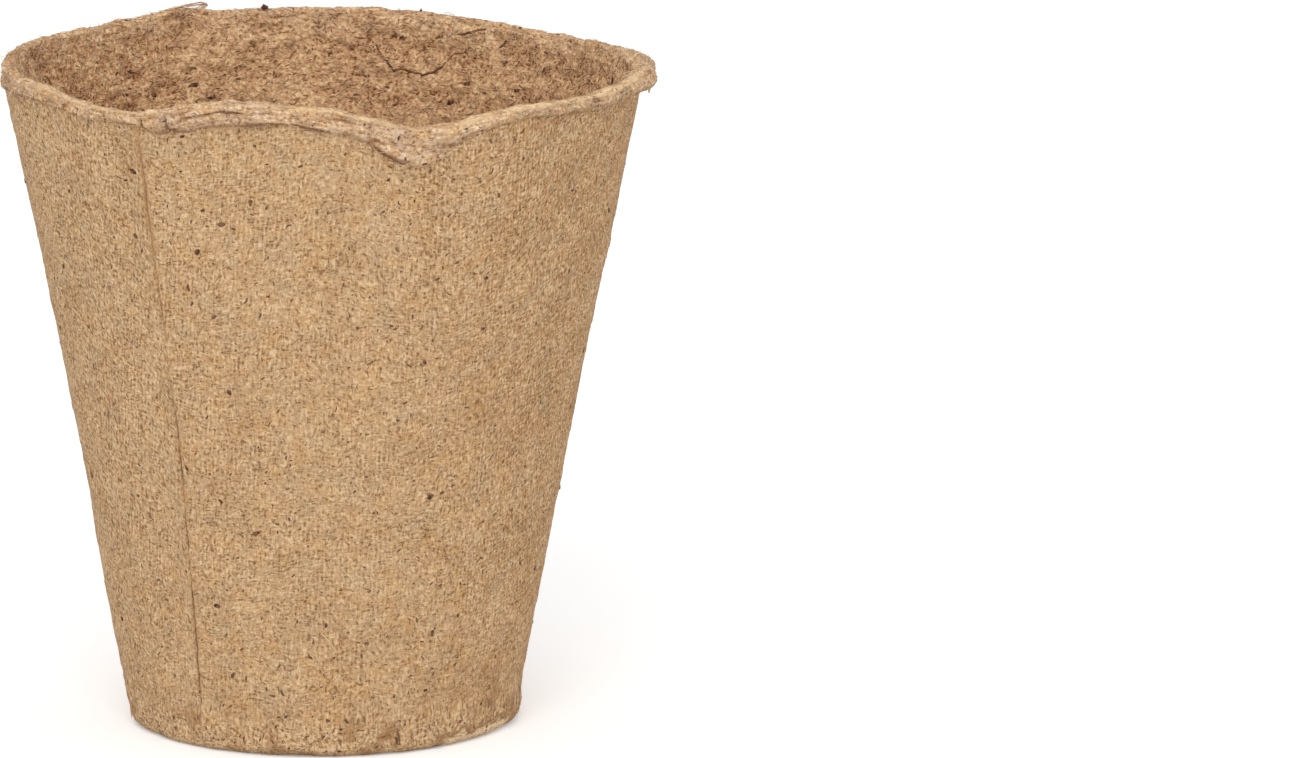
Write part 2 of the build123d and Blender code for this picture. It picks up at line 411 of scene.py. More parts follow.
def make_object(name, points, faces):
    """Mesh object from points in millimetres, smooth shaded, riding on the pot."""
    mesh = bpy.data.meshes.new(name)
    mesh.from_pydata((np.asarray(points) * MM).tolist(), [], [list(face) for face in faces])
    mesh.validate()
    mesh.polygons.foreach_set("use_smooth", np.ones(len(mesh.polygons), bool))
    made = bpy.data.objects.new(name, mesh)
    bpy.context.scene.collection.objects.link(made)
    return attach(made, "root")


def add_values(piece, name, values):
    """One number for each point of a piece, which its material can read."""
    layer = piece.data.attributes.new(name, "FLOAT", "POINT")
    layer.data.foreach_set("value", np.asarray(values, np.float32).ravel())


def add_map(piece, corners):
    """Flat map of a piece in metres, one place for each face corner."""
    full = np.zeros((len(piece.data.loops), 2), np.float32)
    full[: len(corners)] = corners * MM
    piece.data.uv_layers.new(name="developed").data.foreach_set("uv", full.ravel())


def developed(angle, radius):
    """The tapered wall laid out flat, in millimetres, upright a little right of the front."""
    lean = np.sin(np.arctan((sampled_radius.mean() - dish_radius) / (sample_height - dish_height)))
    turn = np.radians(angle - FRONT_ANGLE - 15) * lean
    reach = radius / lean
    return np.stack([reach * np.sin(turn), reach * np.cos(turn)], axis=-1)


# Moulded body: floor, inside, outside, foot and underside as one closed skin
body_columns = 440
body_angles = spaced_angles(body_columns, 0.5, 2.6)
floor_rows, corner_rows, inside_rows, outside_rows, foot_rows, under_rows = 14, 4, 58, 126, 5, 14


def body_rows():
    """Radii and heights row by row, from the middle of the floor over the top to the middle underneath."""
    angle = body_angles
    place = polar(angle, dish_radius, 0.0)
    rows = []
    floor_radius = wall_radius(angle, floor_level) - wall_thickness - corner_radius
    for share in np.linspace(0.04, 1, floor_rows):
        radius = floor_radius * share
        rows.append((radius, floor_level + 0.28 * layered_noise(polar(angle, radius, 0.0), 6, 3, 31)))
    for turn in np.radians(np.linspace(20, 80, corner_rows)):
        radius = floor_radius + corner_radius * np.sin(turn)
        rows.append((radius, floor_level + corner_radius * (1 - np.cos(turn)) + 0.15 * noise(place, 5, 32)))
    top = rim_height(angle) - wall_below_crown
    lining_end = rim_height(angle) - lining_depth
    for share in np.linspace(0, 1, inside_rows):
        height = floor_level + corner_radius + share * (top - floor_level - corner_radius)
        covered = ease(height, lining_end + 2.0, lining_end + 3.5)
        depth = wall_thickness + inner_relief(angle, height, low_fine_share)
        rows.append((wall_radius(angle, height) - (1 - covered) * depth - covered * 0.95, height))
    for share in np.linspace(0, 1, outside_rows):
        height = top + share * (foot_radius - top)
        rows.append((wall_radius(angle, height) + outer_relief(angle, height), height))
    foot_middle = wall_radius(angle, foot_radius) - foot_radius
    for turn in np.radians(np.linspace(18, 90, foot_rows)):
        height = foot_radius * (1 - np.sin(turn))
        radius = foot_middle + (foot_radius + outer_relief(angle, height)) * np.cos(turn)
        rows.append((radius, height + 0.18 * np.abs(noise(place, 6, 33)) * np.sin(turn)))
    for share in np.linspace(0.96, 0.05, under_rows):
        radius = foot_middle * share
        rows.append((radius, 0.22 * np.abs(layered_noise(polar(angle, radius, 0.0), 7, 3, 34))))
    return rows


def build_body():
    """The body's mesh, with its inside and outside told apart by material."""
    rows = body_rows()
    grid = np.array([polar(body_angles, radius, height) for radius, height in rows])
    count = len(rows)
    middles = [(0.0, 0.0, grid[n, :, 2].mean()) for n in (0, -1)]
    points = np.concatenate([grid[:, :-1].reshape(-1, 3), middles])
    pole = count * body_columns
    last = pole - body_columns
    around = [(n, (n + 1) % body_columns) for n in range(body_columns)]
    faces = ring_faces(count, body_columns, looped=False).tolist()
    faces += [(pole, a, b) for a, b in around]
    faces += [(pole + 1, last + b, last + a) for a, b in around]
    piece = make_object("moulded_body", points, faces)
    add_map(piece, ring_maps(np.array([developed(body_angles, radius) for radius, _ in rows]), looped=False))
    inner_count = floor_rows + corner_rows + inside_rows
    inside = np.zeros(len(piece.data.polygons), np.int32)
    inside[: (inner_count - 1) * body_columns] = 1
    inside[(count - 1) * body_columns : count * body_columns] = 1
    piece.data.polygons.foreach_set("material_index", inside)
    angle, height = angle_of(points), points[:, 2]
    add_values(piece, "from_seam", np.clip(seam_distance(angle, height), -12, 12))
    on_floor = np.hypot(points[:, 0], points[:, 1]) < dish_radius - wall_thickness - corner_radius
    on_wall_relief = inner_relief(angle, height, low_fine_share)
    add_values(piece, "relief", np.where(on_floor, 0.4 * noise(points, 5, 35), on_wall_relief))
    add_values(piece, "chipped", foot_chip(angle, height))
    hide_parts("side_wall", "floor_dish")
    return piece, grid[:, :-1]


# Moulded lip: the band folded over the wall's top edge, with a lining down the inside
lip_columns = 1000
lip_angles = spaced_angles(lip_columns, 0.5, 0.3)
lining_rows, crown_rows, band_rows, back_rows = 44, 13, 21, 7
band_start = lining_rows + crown_rows
hem_row = band_start + band_rows - 1


def lip_section(angle):
    """Rows of the lip's section: distance out from the wall, height, and share of the way down the band."""
    rim = rim_height(angle)
    hem = rim - band_height(angle)
    middle, low = band_middle(angle), band_hem(angle)
    level = np.zeros_like(angle)
    inside = -wall_thickness - 0.12
    shoulder = rim - crown_rounding
    rows = []
    for share in np.linspace(0, 1, lining_rows):
        tucked = 0.5 * max(0.0, 1 - share / 0.12)
        height = rim - lining_depth + share * (lining_depth - crown_rounding)
        rows.append((inside + tucked + level, height, 0))
    outside = 0.8 * middle
    for turn in np.linspace(np.pi, 0, crown_rows + 2)[1:-1]:
        across = (inside + outside) / 2 + (outside - inside) / 2 * np.cos(turn)
        rows.append((across, shoulder + crown_rounding * np.sin(turn) ** 0.8, 0))
    for share in np.linspace(0, 1, band_rows):
        bulge = outside * (1 - share) * (1 - 2 * share) + 4 * middle * share * (1 - share)
        bulge = bulge + low * share * (2 * share - 1)
        rows.append((bulge, shoulder + share * (hem + 0.1 - shoulder), share))
    rows.append((low - 0.08, hem, 1))
    rows.append((0.6 * low - 0.1, hem - 0.02, 1))
    rows.append((level - 0.15, hem + 0.12, 1))
    rows.append((level - 0.5, hem + 0.35, 1))
    for share in np.linspace(0.15, 1, back_rows):
        rows.append((level - 0.5 - 0.45 * share**2, hem + share * (rim - lining_depth - 0.3 - hem), 1))
    return [np.array(column) for column in zip(*rows)]


def lip_relief(angle, grid, along_section, down_band):
    """Folds along the lip, lumps, torn places and fluff, as heights over the smooth lip."""
    stretched = polar(angle, 5.6, along_section)
    folds = waves(stretched, 41, lip_folds)
    fibrous = 0.09 * noise(polar(angle, 9.0, 2.0 * along_section), 0.45, 47)
    lumps = waves(grid, 43, lip_lumps)
    fluff = waves(grid, 45, lip_fluff)
    creased = ease(angle, 245, 249) * (1 - 0.75 * ease(angle, 256, 260)) * (1 - ease(angle, 266, 272))
    crease_line = 0.38 + 0.2 * noise(polar(angle, 40.0, 0.0), 4, 48)
    crease = -0.28 * creased * near_value(down_band, crease_line, 0.06)
    on_band = ease(down_band, 0.05, 0.3)
    lump = 0.12 * near_angle(angle, 241.8, 1.7) * on_band
    tears = -0.4 * (near_angle(angle, 239.4, 0.35) + 0.8 * near_angle(angle, 244.4, 0.3)) * on_band
    crack = -0.35 * near_angle(angle, 224.0, 0.3) * on_band
    return folds + fibrous + lumps + fluff + crease + lump + tears + crack


def add_lip_looks(piece, angle, row, from_rim, down_band):
    """Values that the lip's material reads: its crown, the painted highlight along the crown, the painted
    shade along the hem, and where it runs into the wall.
    """
    front = between(angle, 192, 208, 345, 356)
    crown_share = 0.4 + 0.6 * np.maximum(front, near_angle(angle, 4, 14))
    crown_look = np.where(row < lining_rows, ease(from_rim, -1.0, -0.45), 1.0) * crown_share
    paler = 0.35 * ease(from_rim, -5.0, -1.0) * (row < lining_rows)
    add_values(piece, "on_lip", np.maximum(np.where(row < band_start, crown_look, 1.0), paler))
    # Painted highlight along the crown, only on the front, wider and stronger at the right
    right_highlight = ease(angle, 292, 300)
    edge = near_value(row, lining_rows + 8, 2.4 + 1.6 * right_highlight) * front
    add_values(piece, "edge", edge * (0.85 + 0.4 * right_highlight))
    # Painted shade along the lip's hem, where the hem overhangs the wall
    add_values(piece, "hem", near_value(row, hem_row - 0.5, 2.4) * hem_painted_shade(angle))
    right_hand = 0.75 * between(angle, 288, 297, 338, 350) * ease(down_band, 0.25, 0.65)
    left_hand = 0.5 * between(angle, 225, 229, 245, 248) * ease(down_band, 0.2, 0.7)
    add_values(piece, "merged", right_hand + left_hand)


def build_lip():
    """The lip's mesh: a smooth section all round, then its relief along the normals."""
    angle = lip_angles[:-1]
    outward, height, down_band = lip_section(angle)
    grid = polar(angle, wall_radius(angle, height) + outward, height)
    lengths = np.hypot(np.diff(outward, axis=0), np.diff(height, axis=0))
    along_section = np.concatenate([np.zeros((1, lip_columns)), np.cumsum(lengths, axis=0)])
    along_section -= along_section[lining_rows]
    row = np.arange(len(grid))[:, None]
    from_rim = height - rim_height(angle)
    near_rim = ease(from_rim, -1.6, -0.3)
    on_lining = (1 - near_rim) * (row < lining_rows)
    on_lip = np.where(row < lining_rows, near_rim, 1.0)
    on_lip = on_lip * np.interp(row, hem_row + np.arange(1, 5), [1, 0.6, 0.2, 0])
    lining = inner_relief(angle, height, fine_share(angle, height))
    folded = lip_relief(angle, grid, along_section, down_band[:, None])
    relief = on_lining * lining + on_lip * np.maximum(folded, -0.4)
    grid = grid + grid_normals(grid, looped=True) * relief[..., None]
    piece = make_object("moulded_lip", grid.reshape(-1, 3), ring_faces(len(grid), lip_columns, looped=True))
    across = np.concatenate([along_section, along_section[:, :1]], axis=1)
    round_way = np.broadcast_to(np.radians(lip_angles) * sampled_radius.mean(), across.shape)
    add_map(piece, ring_maps(np.stack([round_way, across], axis=-1), looped=True))
    add_values(piece, "relief", np.where(row < lining_rows, lining, folded))
    add_lip_looks(piece, angle, row, from_rim, down_band[:, None])
    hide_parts("rim_lip")
    return piece, grid


def islands(node):
    """Separate solids of a CAD node, each as an array of points in millimetres."""
    work = bmesh.new()
    work.from_mesh(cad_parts[node].data)
    bmesh.ops.remove_doubles(work, verts=work.verts, dist=0.001 * MM)
    left = set(work.verts)
    found = []
    while left:
        group, edge = set(), [left.pop()]
        while edge:
            vertex = edge.pop()
            group.add(vertex)
            for link in vertex.link_edges:
                other = link.other_vert(vertex)
                if other in left:
                    left.discard(other)
                    edge.append(other)
        found.append(np.array(sorted(vertex.co[:] for vertex in group)) / MM)
    work.free()
    return sorted(found, key=lambda points: tuple(points.mean(axis=0).round(3)))


def flat_axes(points):
    """Centre, long and short directions of a flat solid, with its half sizes along them."""
    centre = points.mean(axis=0)
    _, axes = np.linalg.eigh(np.cov((points - centre).T))
    _, short, long = (axis * np.sign(axis[np.abs(axis).argmax()]) for axis in axes.T)
    halves = [np.abs((points - centre) @ axis).max() for axis in (long, short)]
    return centre, (long, short), halves


def chip(centre, long, thin, halves, draw, sides=12):
    """Points and faces of a bark chip: a flat lump with a broken outline and a domed face."""
    short = np.cross(thin, long)
    turn = np.arange(sides) * 2 * np.pi / sides + draw.uniform(-0.22, 0.22, sides)
    ragged = draw.uniform(0.55, 1.05, sides)
    points = []
    for level, width in ((-0.9, 0.8), (-0.1, 1.0), (0.5, 0.85), (0.85, 0.5)):
        spread = ragged * width
        ring = np.outer(np.cos(turn) * spread * halves[0], long)
        ring = ring + np.outer(np.sin(turn) * spread * halves[1], short)
        wobble = draw.uniform(-0.2, 0.2, sides) * halves[2]
        points.append(centre + ring + np.outer(level * halves[2] + wobble, thin))
    points.append([centre - 0.9 * halves[2] * thin, centre + 0.9 * halves[2] * thin])
    faces = []
    for n in range(sides):
        m = (n + 1) % sides
        for ring in range(3):
            faces.append((ring * sides + n, ring * sides + m, (ring + 1) * sides + m, (ring + 1) * sides + n))
        faces.append((4 * sides, m, n))
        faces.append((4 * sides + 1, 3 * sides + n, 3 * sides + m))
    return np.concatenate(points), faces


def strand(path, radius, sides=3):
    """Points and faces of a thin closed strand along a path, drawn in at its ends."""
    path = np.asarray(path, float)
    count = len(path)
    forward = np.gradient(path, axis=0)
    forward /= np.linalg.norm(forward, axis=1, keepdims=True)
    side = np.cross(forward, (0.31, 0.52, 0.79))
    side /= np.linalg.norm(side, axis=1, keepdims=True)
    other = np.cross(forward, side)
    taper = radius * (1 - 0.65 * np.abs(np.linspace(-1, 1, count)) ** 3)
    turn = np.arange(sides) * 2 * np.pi / sides
    rings = path[:, None] + taper[:, None, None] * (
        np.cos(turn)[None, :, None] * side[:, None] + np.sin(turn)[None, :, None] * other[:, None]
    )
    faces = [tuple(range(sides)), tuple((count - 1) * sides + n for n in reversed(range(sides)))]
    for ring in range(count - 1):
        for n in range(sides):
            a, b = ring * sides + n, ring * sides + (n + 1) % sides
            faces.append((a, a + sides, b + sides, b))
    return rings.reshape(-1, 3), faces


def joined(parts):
    """One list of points and faces from several."""
    points, faces, first = [], [], 0
    for part_points, part_faces in parts:
        points.append(part_points)
        faces += [tuple(first + corner for corner in face) for face in part_faces]
        first += len(part_points)
    return np.concatenate(points), faces


def drawn_line(places, count):
    """Columns of a table of places, filled in to a number of points along it."""
    table = np.array(places, float)
    steps = np.linspace(0, len(table) - 1, count)
    return [np.interp(steps, np.arange(len(table)), column) for column in table.T]


def strewn(
    grid, angles, rows, seed, count, lengths, radii, lift, level_share=0.0, upright_share=0.0, curl=0.18
):
    """Strands strewn over some rows of a ring grid: short, bent, and lifted a little off it at one end."""
    draw = np.random.default_rng(seed)
    normals = grid_normals(grid, looped=False)
    row = draw.integers(*rows, count)
    column = np.searchsorted(angles[:-2], draw.uniform(0, FULL_TURN, count))
    parts = []
    for r, c in zip(row, column):
        normal = normals[r, c]
        level = np.cross((0, 0, 1), normal)
        level /= max(np.linalg.norm(level), 1e-6)
        turn = draw.uniform(0, 2 * np.pi)
        chance = draw.random()
        if chance < level_share:
            turn = draw.normal(0, 0.35)
        elif chance < level_share + upright_share:
            turn = np.pi / 2 + draw.normal(0, 0.2)
        way = np.cos(turn) * level + np.sin(turn) * np.cross(normal, level)
        length, radius = draw.uniform(*lengths), draw.uniform(*radii)
        along = np.linspace(-0.5, 0.5, 5)
        bend = draw.normal(0, curl) * length * (4 * along**2 - 1)
        raised = draw.uniform(0, lift) * (along + 0.5) ** 2 + 0.2 * radius
        path = grid[r, c] + np.outer(along * length, way)
        path = path + np.outer(bend, np.cross(normal, way)) + np.outer(raised, normal)
        parts.append(strand(path, radius))
    return joined(parts)


def build_fibres(name, *place, **sizes):
    """A piece of loose strands on a ring grid."""
    piece = make_object(name, *strewn(*place, **sizes))
    return piece


def skin_radius(angle, height, outside):
    """Radius of the rough outside or inside of the wall."""
    if outside:
        return wall_radius(angle, height) + outer_relief(angle, height)
    start = rim_height(angle) - lining_depth
    lining = 0.12 * ease(height, start, start + 2)
    relief = inner_relief(angle, height, fine_share(angle, height))
    return wall_radius(angle, height) - wall_thickness - lining - relief


def small_bit(seat, angle, inward, half, turn, draw):
    """A small dark chip seated on a face, turned from level by some degrees."""
    thin = polar(angle, -1.0 if inward else 1.0, 0.0)
    tilt = np.radians(turn)
    long = np.cos(tilt) * np.cross((0, 0, 1), thin) + np.sin(tilt) * np.array((0, 0, 1))
    return chip(seat, long, thin, (0.8 * half, 0.35 * half, 0.1), draw)


def solid_chips(draw):
    """Bark chips where the solids have them."""
    for points in islands("bark_flecks"):
        centre, (long, _), halves = flat_axes(points)
        angle = angle_of(centre)
        outside = np.hypot(centre[0], centre[1]) > wall_radius(angle, centre[2]) - wall_thickness / 2
        thin = polar(angle, 1.0 if outside else -1.0, 0.0)
        long = long - (long @ thin) * thin
        seat = polar(angle, skin_radius(angle, centre[2], outside), centre[2])
        half_sizes = (min(halves[0], 0.62), min(halves[1], 0.36), 0.09)
        yield chip(seat, long / np.linalg.norm(long), thin, half_sizes, draw)


def wall_bits(draw):
    """Smaller dark bits on the outside and the inside, and crumbs strewn over the inside."""
    for bits, inward in ((outer_bits, False), (inner_bits, True)):
        for angle, height, half, turn in bits:
            seat = polar(angle, skin_radius(angle, height, not inward), height)
            yield small_bit(seat, angle, inward, half, turn, draw)
    for _ in range(crumb_count):
        angle, half, turn = draw.uniform(0, FULL_TURN), draw.uniform(0.25, 0.7), draw.normal(0, 30)
        height = rim_height(angle) - draw.uniform(1.5, lining_depth)
        seat = polar(angle, skin_radius(angle, height, False), height)
        yield small_bit(seat, angle, True, half, turn, draw)


def band_bits(lip_grid, draw):
    """Small dark bits on the band of the lip."""
    for angle, height, half, turn in lip_bits:
        band = lip_grid[band_start : hem_row + 1, np.searchsorted(lip_angles, angle)]
        seat = band[np.abs(band[:, 2] - height).argmin()]
        yield small_bit(seat, angle, False, half, turn, draw)


def build_chips(lip_grid):
    """Bark chips where the solids have them, and smaller dark bits on the wall and the lip."""
    draw = np.random.default_rng(51)
    parts = [*solid_chips(draw), *wall_bits(draw), *band_bits(lip_grid, draw)]
    piece = make_object("bark_chips", *joined(parts))
    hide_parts("bark_flecks")
    return piece


def build_straw():
    """Bent straw bits where the solids have them."""
    draw = np.random.default_rng(52)
    parts = []
    for points in islands("straw_fibres"):
        centre, (long, short), halves = flat_axes(points)
        along = np.linspace(-1, 1, 9)
        bend = draw.normal(0, 0.12) * halves[0]
        line = centre + np.outer(along * halves[0], long) + np.outer(bend * (along**2 - 1), short)
        angle = angle_of(line)
        skin = skin_radius(angle, line[:, 2], True)
        parts.append(strand(polar(angle, skin + 0.02, line[:, 2]), 0.09, sides=5))
    piece = make_object("straw_bits", *joined(parts))
    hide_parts("straw_fibres")
    return piece


def build_roots_and_crease_shade():
    """Thin dark strands that wind over the inside, sunk in it here and there: partly roots, partly painted
    shade along creases and folds.
    """
    parts = []
    for places in root_and_crease_shade_places:
        angle, height = drawn_line(places, 70)
        along = np.stack([angle, height, 0 * angle], axis=-1)
        height = height + 0.16 * noise(along, 1.3, 71)
        sunk = 0.04 + 0.14 * noise(along, 1.6, 72)
        parts.append(strand(polar(angle, skin_radius(angle, height, False) + sunk, height), 0.16, sides=6))
    piece = make_object("root_and_crease_shade", *joined(parts))
    return piece


def tuft_strands(draw):
    """Strands that stand up from the back of the rim."""
    for thickness, spread in tuft_strand_sizes:
        angle, over_rim = drawn_line(tuft_places, 24)
        shifted = angle + spread * draw.normal(0, 0.8)
        angle = shifted + 0.2 * np.sin(np.linspace(0, 5, 24) + draw.uniform(0, 6))
        height = rim_height(angle) - 0.15 + over_rim * (1 + spread * draw.normal(0, 0.5))
        radius = wall_radius(angle, height) - wall_thickness / 2 + spread * draw.normal(0, 0.5)
        yield strand(polar(angle, radius, height), thickness)


def left_hairs(draw, along):
    """Fine hairs that stand out at the left of the rim."""
    for _ in range(hair_count):
        angle = draw.uniform(172, 196) + draw.uniform(-1.2, 1.2) * along
        height = rim_height(angle) + draw.uniform(-2.4, -0.2) + draw.uniform(-0.5, 0.6) * along
        reach = draw.uniform(0.15, 0.45) * np.sin(draw.uniform(0.4, 0.9) * np.pi * along)
        path = polar(angle, wall_radius(angle, height) + reach, height)
        yield strand(path, draw.uniform(0.03, 0.05))


def ear_shreds(along):
    """Shreds that hang from the ear at the right of the rim."""
    rooted = 0.25  # how far a shred's root reaches into the lip
    for angle, drop, thickness in shred_places:
        hem = rim_height(angle) - band_height(angle)
        height = hem + rooted - (drop + rooted) * along
        radius = wall_radius(angle, hem) + band_hem(angle) - rooted
        yield strand(polar(angle + 0.4 * along, radius, height), thickness)


def build_rim_tuft():
    """Loose strands on the rim: a tuft at the back, hairs at the left and shreds at the right."""
    draw = np.random.default_rng(81)
    along = np.linspace(0, 1, 9)
    parts = [*tuft_strands(draw), *left_hairs(draw, along), *ear_shreds(along)]
    piece = make_object("rim_tuft", *joined(parts))
    return piece


def build_rim_bits():
    """Dark bits caught in the back of the rim."""
    draw = np.random.default_rng(82)
    parts = []
    for angle, lift, halves in rim_bit_places:
        height = rim_height(angle) + lift
        seat = polar(angle, wall_radius(angle, height) - wall_thickness / 2, height)
        inward = polar(angle, -1.0, 0.0)
        parts.append(chip(seat, np.cross((0, 0, 1), inward), inward, halves, draw))
    piece = make_object("rim_bits", *joined(parts))
    return piece


def build_flap_edge(grid):
    """Rusty strands along the torn lower left edge of the folded flap."""
    draw = np.random.default_rng(83)
    normals = grid_normals(grid, looped=True)
    parts = []
    for first, last in flap_strand_places:
        column = np.searchsorted(lip_angles[:-2], np.linspace(first, last, 12))
        row = hem_row - draw.integers(0, 2)
        path = grid[row, column] + 0.03 * normals[row, column]
        parts.append(strand(path, draw.uniform(0.06, 0.09), sides=4))
    piece = make_object("flap_edge", *joined(parts))
    return piece


class Shader:
    """A node tree, built by short calls that give output sockets."""

    def __init__(self, owner):
        self.owner = owner
        owner.use_nodes = True
        self.tree = owner.node_tree
        self.tree.nodes.clear()

    def plug(self, socket, value):
        if isinstance(value, bpy.types.NodeSocket):
            self.tree.links.new(value, socket)
        else:
            socket.default_value = value

    def node(self, kind, inputs, **settings):
        made = self.tree.nodes.new(kind)
        for setting, value in settings.items():
            setattr(made, setting, value)
        for key, value in inputs.items():
            self.plug(made.inputs[key], value)
        return made

    def math(self, operation, *values, clamp=False):
        made = self.node("ShaderNodeMath", dict(enumerate(values)), operation=operation, use_clamp=clamp)
        return made.outputs[0]

    def add(self, *values):
        total = values[0]
        for value in values[1:]:
            total = self.math("ADD", total, value)
        return total

    def times(self, *values):
        total = values[0]
        for value in values[1:]:
            total = self.math("MULTIPLY", total, value)
        return total

    def vector(self, operation, first, second):
        key = "Scale" if operation == "SCALE" else 1
        return self.node("ShaderNodeVectorMath", {0: first, key: second}, operation=operation).outputs[0]

    def noise(self, place, cell, detail=2.0, roughness=0.5, flat=False):
        """Noise about zero."""
        inputs = {"Vector": place, "Scale": 1 / cell, "Detail": detail, "Roughness": roughness}
        made = self.node("ShaderNodeTexNoise", inputs, noise_dimensions="2D" if flat else "3D")
        return self.math("SUBTRACT", made.outputs["Fac"], 0.5)

    def step(self, value, low, high):
        inputs = {"Value": value, "From Min": low, "From Max": high}
        return self.node("ShaderNodeMapRange", inputs, interpolation_type="SMOOTHSTEP").outputs[0]

    def mix(self, share, first, second):
        made = self.node("ShaderNodeMix", {}, data_type="RGBA")
        sockets = {socket.identifier: socket for socket in made.inputs}
        for key, value in (("Factor_Float", share), ("A_Color", first), ("B_Color", second)):
            self.plug(sockets[key], value)
        return next(socket for socket in made.outputs if socket.identifier == "Result_Color")

    def value(self, name):
        return self.node("ShaderNodeAttribute", {}, attribute_name=name).outputs["Fac"]

    def parts(self, vector):
        return self.node("ShaderNodeSeparateXYZ", {"Vector": vector}).outputs

    def solid_place(self):
        """Place in the object, in millimetres."""
        return self.vector("SCALE", self.node("ShaderNodeTexCoord", {}).outputs["Object"], 1 / MM)

    def finish(self, colour, roughness, height, depth):
        inputs = {"Height": height, "Distance": depth * MM, "Strength": 1.0}
        bump = self.node("ShaderNodeBump", inputs).outputs[0]
        inputs = {"Base Color": colour, "Roughness": roughness, "Normal": bump, "Specular IOR Level": 0.1}
        shader = self.node("ShaderNodeBsdfPrincipled", inputs)
        self.node("ShaderNodeOutputMaterial", {"Surface": shader.outputs[0]})
        return self.owner


Tones = namedtuple("Tones", "middle light dark rust orange grey")
outside_tones = Tones(
    middle=(0.52, 0.328, 0.172, 1),
    light=(0.74, 0.525, 0.315, 1),
    dark=(0.25, 0.13, 0.058, 1),
    rust=(0.46, 0.245, 0.105, 1),
    orange=(0.57, 0.325, 0.14, 1),
    grey=(0.46, 0.325, 0.195, 1),
)
inside_tones = Tones(
    middle=(0.60, 0.353, 0.191, 1),
    light=(0.88, 0.63, 0.355, 1),
    dark=(0.20, 0.084, 0.030, 1),
    rust=(0.45, 0.215, 0.095, 1),
    orange=(0.60, 0.33, 0.15, 1),
    grey=(0.53, 0.35, 0.215, 1),
)
lip_tones = Tones(
    middle=(0.615, 0.40, 0.236, 1),
    light=(0.87, 0.66, 0.44, 1),
    dark=(0.30, 0.155, 0.08, 1),
    rust=(0.58, 0.32, 0.14, 1),
    orange=(0.70, 0.42, 0.20, 1),
    grey=(0.58, 0.41, 0.285, 1),
)
# Painted highlight along the lip's crown
crown_highlight_tone = (0.90, 0.64, 0.36, 1)
# Painted shade in the lip's creases and along its hem
crease_shade_tone = (0.20, 0.095, 0.046, 1)
seam_tone = (0.15, 0.072, 0.034, 1)
foot_tone = (0.33, 0.168, 0.07, 1)
bare_tone = (0.94, 0.71, 0.46, 1)
fibre_shadow_tone = (0.2, 0.12, 0.06, 1)
brown_speck_tone = (0.20, 0.105, 0.052, 1)
dark_speck_tone = (0.11, 0.058, 0.034, 1)


